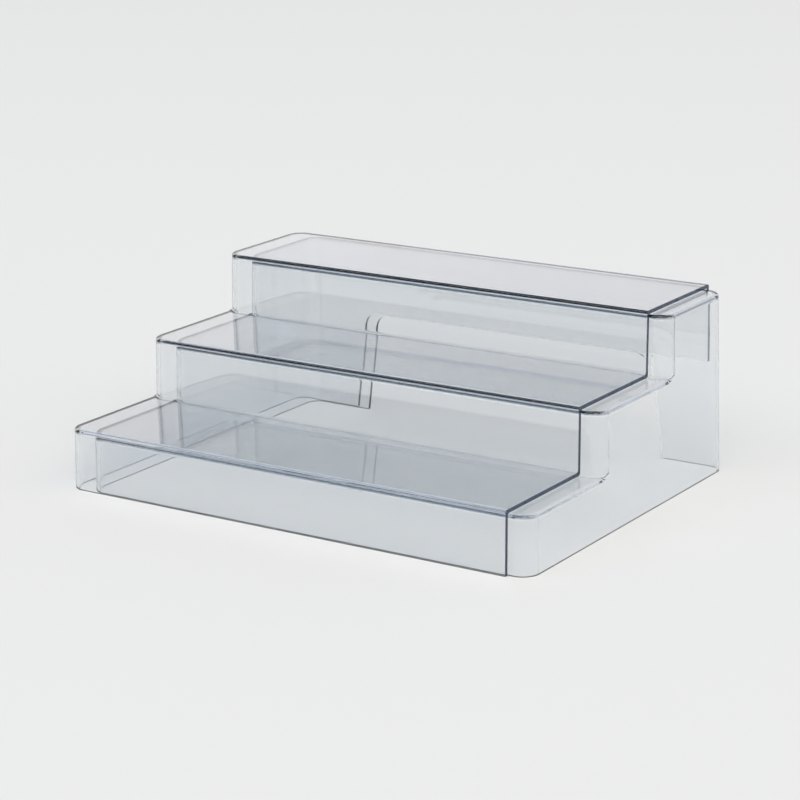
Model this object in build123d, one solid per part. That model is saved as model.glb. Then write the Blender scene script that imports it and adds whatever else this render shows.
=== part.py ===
from build123d import *
import os
from math import radians, tan

# An expandable three-tier shelf riser: two clear stepped shells, the inner one nested under the
# outer one, that slide apart along X. Millimetres, +Z up, front towards -Y. The origin is on the
# table, under the middle of the closed riser's bounding box.

# Overall form, measured on the outer shell's outside faces at the height of the top tread
height = 102.6
tread_heights = (33.9, 68.3, height)
riser_setbacks = (0.0, 72.0, 144.0)
depth = 215.0
outer_length = 275.0
inner_length = 272.4
inner_offset = 13.2

# Moulding details; the bend radius is that of every tread edge and riser foot, inside and outside
wall = 2.0
shell_gap = 0.4
draft = 1.0
corner_radius = 9.3
bend_radius = 1.5

# Cut-outs in the rear walls: each leg is measured along the table from the shell's end
cutout_top = 59.5
cutout_radius = 8.5
cutout_slant = 7.8
outer_leg = 46.0
inner_left_leg = 41.5
inner_right_leg = 39.0

# How far tools run past the faces that they cut, how deep a fill is rooted in its wall, and a
# length greater than any of the part
overrun = 20.0
root = 1.4
boundless = 1000.0

lean = tan(radians(draft))
spread = lean * height
left = spread - (inner_offset + inner_length + 2 * spread) / 2
front = lean * tread_heights[0] - (depth + spread + lean * tread_heights[0]) / 2
rear_at_table = front + depth + spread
outer_span = (left, left + outer_length)
inner_span = (left + inner_offset, left + inner_offset + inner_length)


def outline(span, setback, top, z, inset, skin):
    """Left, right, front and rear of a tier at height z, and the radius of its upright corners."""
    grow = lean * (height - z)
    sides = (span[0] - grow + skin, span[1] + grow - skin)
    fore = front + setback - lean * (top - z) + inset
    aft = front + depth + grow - inset
    return *sides, fore, aft, corner_radius - skin


def tier_block(span, setback, top, roof, inset, skin):
    """Drafted block with rounded upright corners, from below the table up to the roof height."""
    low_x, high_x, low_y, high_y, radius = outline(span, setback, top, -overrun, inset, skin)
    middle = Plane(((low_x + high_x) / 2, (low_y + high_y) / 2, -overrun))
    footprint = Rectangle(high_x - low_x, high_y - low_y)
    block = extrude(middle * footprint, amount=roof + overrun, taper=draft)
    return fillet(block.edges().filter_by(Plane.XY, reverse=True), radius)


def tier(span, setback, top, inset, skin):
    """A tier of the stepped block, with a small radius round the edge of its tread."""
    block = tier_block(span, setback, top, top - inset, inset, skin)
    return fillet(block.faces().sort_by(Axis.Z)[-1].edges(), bend_radius)


def cove(span, setback, top, below, inset, skin):
    """Rounded fill along the foot of a riser, carried round its two upright corners."""
    foot = below - inset
    low_x, high_x, low_y, _, radius = outline(span, setback, top, foot, inset, skin)
    back = low_y + 2 * radius
    path = FilletPolyline(
        (low_x, back, foot), (low_x, low_y, foot), (high_x, low_y, foot), (high_x, back, foot),
        radius=radius,
    )
    corners = [
        (-lean * bend_radius, bend_radius), (-root, bend_radius), (-root, -root),
        (bend_radius, -root), (bend_radius, 0),
    ]
    section = make_face(Polyline(corners) + RadiusArc(corners[-1], corners[0], bend_radius))
    place = Plane((0, low_y, foot), x_dir=(0, -1, 0), z_dir=(-1, 0, 0))
    envelope = tier_block(span, 0, tread_heights[0], height, inset, skin)
    return sweep(place * section, path) & envelope


def stepped_block(span, inset, skin):
    """Three tiers fused into one block; inset moves its treads, risers and rear, skin its ends."""
    block = None
    below = None
    for setback, top in zip(riser_setbacks, tread_heights):
        step = tier(span, setback, top, inset, skin)
        if block is None:
            block = step
        else:
            block = block + step + cove(span, setback, top, below, inset, skin)
        below = top
    return block


def cutout(low_x, high_x, sides):
    """Tool for the opening in a rear wall, wider at the table; sides says which of its two slant."""
    slope = tan(radians(cutout_slant))
    low = [low_x - slope * overrun * sides[0], high_x + slope * overrun * sides[1]]
    top = [low_x + slope * cutout_top * sides[0], high_x - slope * cutout_top * sides[1]]
    corners = [(low[0], -overrun), (top[0], cutout_top), (top[1], cutout_top), (low[1], -overrun)]
    upright = Plane(origin=(0, rear_at_table, 0), x_dir=(1, 0, 0), z_dir=(0, -1, 0))
    shape = make_face(Polyline(corners, close=True))
    upper = shape.vertices().filter_by_position(Axis.Y, 0, cutout_top).sort_by(Axis.X)
    rounded = [corner for corner, side in zip(upper, sides) if side]
    return extrude(upright * fillet(rounded, cutout_radius), amount=overrun, both=True)


def shell(span, inset, open_end):
    """Thin-walled stepped shell, open underneath; its right end is closed or runs out open."""
    hollow_span = (span[0], span[1] + overrun) if open_end else span
    return stepped_block(span, inset, 0) - stepped_block(hollow_span, inset + wall, wall)


def above_table(solid):
    """The solid without its overrun below the table."""
    below = (Align.CENTER, Align.CENTER, Align.MAX)
    return solid - Box(boundless, boundless, boundless, align=below)


def outer_shell():
    """Upper shell: closed at its left end, sawn square at its right end."""
    end = outer_span[1]
    blank = shell((outer_span[0], end + overrun), 0, True)
    past_end = (Align.MIN, Align.CENTER, Align.CENTER)
    offcut = Pos(end, 0, 0) * Box(boundless, boundless, boundless, align=past_end)
    opening = cutout(outer_span[0] - spread + outer_leg, end + overrun, (1, 0))
    return above_table(blank - offcut - opening)


def inner_shell():
    """Lower shell: closed at both ends, nested inside the upper shell with a small gap."""
    blank = shell(inner_span, wall + shell_gap, False)
    low_x = inner_span[0] - spread + inner_left_leg
    high_x = inner_span[1] + spread - inner_right_leg
    return above_table(blank - cutout(low_x, high_x, (1, 1)))


os.makedirs("parts", exist_ok=True)
export_step(outer_shell(), "parts/outer_shell.step")
export_step(inner_shell(), "parts/inner_shell.step")
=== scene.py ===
import math

import bpy
from mathutils import Matrix, Vector

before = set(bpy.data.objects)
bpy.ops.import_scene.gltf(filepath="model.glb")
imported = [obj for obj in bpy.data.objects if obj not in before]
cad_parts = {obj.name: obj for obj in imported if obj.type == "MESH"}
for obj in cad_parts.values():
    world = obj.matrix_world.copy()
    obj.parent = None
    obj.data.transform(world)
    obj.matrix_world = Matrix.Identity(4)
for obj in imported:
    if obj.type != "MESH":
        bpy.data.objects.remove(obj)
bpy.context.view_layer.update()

# Camera: the photograph's viewing angle, aimed near the middle of the riser. Metres and degrees; the lens and
# the sensor in millimetres.
AZIMUTH = 33.404
ELEVATION = 15.878
ROLL = -0.763
DISTANCE = 1.4131
AIM = Vector((-0.00523, 0.00856, 0.04109))
LENS = 116.03
SENSOR = 36.0
CLIP = (0.05, 50.0)

# Clear plastic: its refraction, and how fast it absorbs red, green and blue light, per metre of path. The
# density is the volume node's scale for those rates, and lies above all three.
PLASTIC_IOR = 1.54
PLASTIC_ABSORPTION = (31.8, 26.1, 21.5)
ABSORPTION_DENSITY = 40.0

# Faint moulding waves: noise cells per metre, and the height of the waves in metres
WAVE_SCALE = 13.0
WAVE_DETAIL = 1.0
WAVE_HEIGHT = 0.00006

# Sparse rubbed specks on the polished faces: they come in as the noise rises through its threshold
SCUFF_SCALE = 260.0
SCUFF_DETAIL = 3.0
SCUFF_THRESHOLD = (0.68, 0.78)
SCUFF_ROUGHNESS = 0.03

# The rim that stands on the table is matt, and fades to polished by this height in metres
RIM_HEIGHT = 0.00025
RIM_ROUGHNESS = 0.45

# The outer shell's cut right end comes in between these places on X, in metres. Its navy colour is painted
# light:
# it tints the light that passes and scatters a share of it, and stands in for light that has come a long way
# through the plastic.
CUT_END = (0.13195, 0.13205)
CUT_END_PAINTED_SCATTER = 0.3
CUT_END_PAINTED_LIGHT = (0.045, 0.08, 0.17)
UNTINTED = (1.0, 1.0, 1.0)

# Floor paper: half its side in metres, its grey, its roughness, and a faint grain
FLOOR_HALF = 12.0
FLOOR_ALBEDO = 0.8
FLOOR_ROUGHNESS = 0.9
FLOOR_GRAIN = 0.006
GRAIN_SCALE = 420.0
GRAIN_DETAIL = 2.0

# The studio around the riser: the colour of the room at rising elevations, for four bearings. A bearing is
# counted in degrees to the left of straight behind the riser, as the camera sees it.
STUDIO = (
    (0, ((0, (0.90, 0.90, 0.90)), (8, (1.08, 1.07, 1.08)), (18, (0.72, 0.69, 0.70)),
         (32, (0.50, 0.55, 0.65)), (52, (0.02, 0.16, 0.34)), (74, (1.07, 1.04, 1.00)))),
    (90, ((0, (0.85, 0.85, 0.85)), (8, (0.50, 0.50, 0.50)), (18, (0.00, 0.00, 0.00)),
          (32, (0.93, 0.95, 0.98)), (52, (0.00, 0.05, 0.12)), (74, (1.37, 1.39, 1.42)))),
    (180, ((0, (0.85, 0.85, 0.85)), (8, (0.51, 0.52, 0.51)), (18, (0.29, 0.33, 0.44)),
           (32, (1.52, 1.45, 1.37)), (52, (1.69, 1.58, 1.41)), (74, (0.90, 0.85, 0.77)))),
    (270, ((0, (0.85, 0.85, 0.85)), (8, (0.75, 0.78, 0.81)), (18, (0.98, 1.18, 1.45)),
           (32, (0.76, 0.73, 0.62)), (52, (0.35, 0.31, 0.22)), (74, (0.42, 0.39, 0.34)))),
)
ZENITH = (0.73, 0.70, 0.65)
RIGHT_ANGLE = 90.0

# Colours of light are divided by this, and the light's strength is multiplied by it, so none passes 1
BRIGHTEST = 2.0

# Softboxes, all at one distance: name, bearing and elevation in degrees, side in metres, and colour
SOFTBOXES = (
    ("front_softbox", 180, 40, 9.21, (1.56, 1.50, 1.44)),
    ("left_softbox", 110, 45, 9.0, (1.26, 1.36, 1.46)),
    ("right_softbox", 250, 45, 9.0, (0.98, 0.94, 0.89)),
)
SOFTBOX_DISTANCE = 13.5
SOFTBOX_TARGET = Vector((0.0, 0.0, 0.05))

# A ray crosses many thin walls before it leaves the two nested shells
PLASTIC_BOUNCES = 32
GLOSSY_BOUNCES = 16


class Graph:
    """A node tree that is built up by small calls, most of which give back an output socket."""

    def __init__(self, owner):
        owner.use_nodes = True
        self.tree = owner.node_tree
        self.tree.nodes.clear()

    def node(self, kind, **settings):
        made = self.tree.nodes.new(kind)
        for name, value in settings.items():
            setattr(made, name, value)
        return made

    def put(self, socket, value):
        if isinstance(value, bpy.types.NodeSocket):
            self.tree.links.new(value, socket)
        else:
            socket.default_value = value

    def maths(self, operation, *values):
        made = self.node("ShaderNodeMath", operation=operation)
        for socket, value in zip(made.inputs, values):
            self.put(socket, value)
        return made.outputs[0]

    def vector(self, operation, *values):
        made = self.node("ShaderNodeVectorMath", operation=operation)
        for socket, value in zip(made.inputs, values):
            self.put(socket, value)
        return made.outputs["Value" if operation == "DOT_PRODUCT" else "Vector"]

    def noise(self, where, scale, detail):
        made = self.node("ShaderNodeTexNoise")
        self.put(made.inputs["Vector"], where)
        self.put(made.inputs["Scale"], scale)
        self.put(made.inputs["Detail"], detail)
        return made.outputs["Fac"]

    def span(self, value, low, high, to_low, to_high):
        """The value moved from one range to another, and kept inside it."""
        made = self.node("ShaderNodeMapRange")
        for socket, number in zip(made.inputs, (value, low, high, to_low, to_high)):
            self.put(socket, number)
        return made.outputs["Result"]

    def bump(self, height, distance):
        made = self.node("ShaderNodeBump")
        self.put(made.inputs["Height"], height)
        self.put(made.inputs["Distance"], distance)
        return made.outputs["Normal"]

    def ramp(self, factor, stops):
        made = self.node("ShaderNodeValToRGB")
        elements = made.color_ramp.elements
        elements.remove(elements[1])
        for index, (position, colour) in enumerate(stops):
            element = elements.new(position) if index else elements[0]
            element.position = position
            element.color = (*colour, 1.0)
        self.put(made.inputs["Fac"], factor)
        return made.outputs["Color"]


def make_camera():
    azimuth, elevation, roll = (math.radians(angle) for angle in (AZIMUTH, ELEVATION, ROLL))
    ahead = Vector((-math.sin(azimuth) * math.cos(elevation), math.cos(azimuth) * math.cos(elevation),
                    -math.sin(elevation)))
    level = Vector((math.cos(azimuth), math.sin(azimuth), 0.0))
    right = math.cos(roll) * level + math.sin(roll) * level.cross(ahead)
    turn = Matrix((right, right.cross(ahead), -ahead)).transposed().to_4x4()
    data = bpy.data.cameras.new("camera")
    data.lens = LENS
    data.sensor_width = SENSOR
    data.clip_start, data.clip_end = CLIP
    camera = bpy.data.objects.new("camera", data)
    camera.matrix_world = Matrix.Translation(AIM - ahead * DISTANCE) @ turn
    bpy.context.scene.collection.objects.link(camera)
    bpy.context.scene.camera = camera


def clear_plastic(name, shift, cut_end):
    """Polished clear plastic with faint waves, rubbed specks and a matt rim; cut_end adds the painted-light
    navy end.
    """
    material = bpy.data.materials.new(name)
    graph = Graph(material)
    place = graph.node("ShaderNodeTexCoord").outputs["Object"]
    moved = graph.vector("ADD", place, shift)
    split = graph.node("ShaderNodeSeparateXYZ")
    graph.put(split.inputs[0], place)
    specks = graph.noise(moved, SCUFF_SCALE, SCUFF_DETAIL)
    rubbed = graph.span(specks, *SCUFF_THRESHOLD, 0.0, SCUFF_ROUGHNESS)
    rim = graph.span(split.outputs["Z"], 0.0, RIM_HEIGHT, RIM_ROUGHNESS, 0.0)
    waves = graph.noise(moved, WAVE_SCALE, WAVE_DETAIL)
    shader = graph.node("ShaderNodeBsdfPrincipled")
    # The navy end's colour and scattered share are painted light, standing in for light guided far through
    # the plastic
    if cut_end:
        cut = graph.span(split.outputs["X"], *CUT_END, 0.0, 1.0)
        graph.put(shader.inputs["Base Color"], graph.ramp(cut, ((0.0, UNTINTED), (1.0, CUT_END_PAINTED_LIGHT))))
        graph.put(shader.inputs["Transmission Weight"], graph.maths("MULTIPLY_ADD", cut, -CUT_END_PAINTED_SCATTER, 1.0))
    else:
        graph.put(shader.inputs["Base Color"], (*UNTINTED, 1.0))
        graph.put(shader.inputs["Transmission Weight"], 1.0)
    graph.put(shader.inputs["Roughness"], graph.maths("MAXIMUM", rubbed, rim))
    graph.put(shader.inputs["IOR"], PLASTIC_IOR)
    graph.put(shader.inputs["Normal"], graph.bump(waves, WAVE_HEIGHT))
    absorb = graph.node("ShaderNodeVolumeAbsorption")
    colour = [1.0 - rate / ABSORPTION_DENSITY for rate in PLASTIC_ABSORPTION]
    graph.put(absorb.inputs["Color"], (*colour, 1.0))
    graph.put(absorb.inputs["Density"], ABSORPTION_DENSITY)
    output = graph.node("ShaderNodeOutputMaterial")
    graph.put(output.inputs["Surface"], shader.outputs["BSDF"])
    graph.put(output.inputs["Volume"], absorb.outputs["Volume"])
    return material


def make_floor():
    """Pale paper. Views from low down see its far edge as a level line behind the riser."""
    s = FLOOR_HALF
    mesh = bpy.data.meshes.new("floor")
    mesh.from_pydata([(-s, -s, 0), (s, -s, 0), (s, s, 0), (-s, s, 0)], [], [(0, 1, 2, 3)])
    floor = bpy.data.objects.new("floor", mesh)
    bpy.context.scene.collection.objects.link(floor)
    material = bpy.data.materials.new("paper")
    graph = Graph(material)
    grain = graph.noise(graph.node("ShaderNodeTexCoord").outputs["Object"], GRAIN_SCALE, GRAIN_DETAIL)
    grey = graph.span(grain, 0.0, 1.0, FLOOR_ALBEDO - FLOOR_GRAIN, FLOOR_ALBEDO + FLOOR_GRAIN)
    shader = graph.node("ShaderNodeBsdfPrincipled")
    graph.put(shader.inputs["Base Color"], grey)
    graph.put(shader.inputs["Roughness"], FLOOR_ROUGHNESS)
    graph.put(shader.inputs["Specular IOR Level"], 0.0)
    output = graph.node("ShaderNodeOutputMaterial")
    graph.put(output.inputs["Surface"], shader.outputs["BSDF"])
    mesh.materials.append(material)


def heading(bearing):
    """The level direction at a bearing, counted to the left of straight ahead of the camera."""
    angle = math.radians(RIGHT_ANGLE + AZIMUTH + bearing)
    return Vector((math.cos(angle), math.sin(angle), 0.0))


def make_world():
    """The room: one ramp of colours by elevation for each bearing, blended round the compass."""
    world = bpy.data.worlds.new("studio")
    bpy.context.scene.world = world
    graph = Graph(world)
    direction = graph.node("ShaderNodeTexCoord").outputs["Generated"]
    split = graph.node("ShaderNodeSeparateXYZ")
    graph.put(split.inputs[0], direction)
    elevation = graph.maths("DIVIDE", graph.maths("ARCSINE", split.outputs["Z"]), math.pi / 2)
    level = graph.node("ShaderNodeVectorMath", operation="NORMALIZE")
    graph.put(level.inputs[0], graph.vector("MULTIPLY", direction, (1.0, 1.0, 0.0)))
    top = (1.0, [value / BRIGHTEST for value in ZENITH])
    room = (0.0, 0.0, 0.0)
    # The squared cosines to the two nearest bearings add up to one
    for bearing, stops in STUDIO:
        facing = graph.vector("DOT_PRODUCT", level.outputs[0], heading(bearing))
        share = graph.maths("POWER", graph.maths("MAXIMUM", facing, 0.0), 2.0)
        rising = []
        for degrees, colour in stops:
            rising.append((degrees / RIGHT_ANGLE, [value / BRIGHTEST for value in colour]))
        room = graph.vector("MULTIPLY_ADD", graph.ramp(elevation, [*rising, top]), share, room)
    background = graph.node("ShaderNodeBackground")
    graph.put(background.inputs["Color"], room)
    graph.put(background.inputs["Strength"], BRIGHTEST)
    output = graph.node("ShaderNodeOutputWorld")
    graph.put(output.inputs["Surface"], background.outputs[0])


def make_softbox(name, bearing, elevation, side, colour):
    """Square softbox that faces the riser."""
    rise = math.radians(elevation)
    towards = math.cos(rise) * heading(bearing) + Vector((0.0, 0.0, math.sin(rise)))
    data = bpy.data.lights.new(name, "AREA")
    data.shape = "SQUARE"
    data.size = side
    data.color = [value / BRIGHTEST for value in colour]
    data.energy = BRIGHTEST * math.pi * side * side
    light = bpy.data.objects.new(name, data)
    light.location = SOFTBOX_TARGET + SOFTBOX_DISTANCE * towards
    light.rotation_mode = "QUATERNION"
    light.rotation_quaternion = (-towards).to_track_quat("-Z", "Y")
    bpy.context.scene.collection.objects.link(light)


make_camera()
make_world()
make_floor()
for softbox in SOFTBOXES:
    make_softbox(*softbox)
for index, (name, node) in enumerate(sorted(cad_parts.items())):
    # Each piece takes its waves and specks from its own part of the noise
    shift = (float(index), 0.0, 0.0)
    plastic = clear_plastic(name + "_plastic", shift, name == "outer_shell")
    for slot in node.material_slots:
        slot.material = plastic

scene = bpy.context.scene
scene.view_settings.view_transform = "Standard"
scene.cycles.max_bounces = PLASTIC_BOUNCES
scene.cycles.transmission_bounces = PLASTIC_BOUNCES
scene.cycles.glossy_bounces = GLOSSY_BOUNCES
scene.cycles.blur_glossy = 0.0
scene.cycles.caustics_refractive = True
scene.cycles.caustics_reflective = True
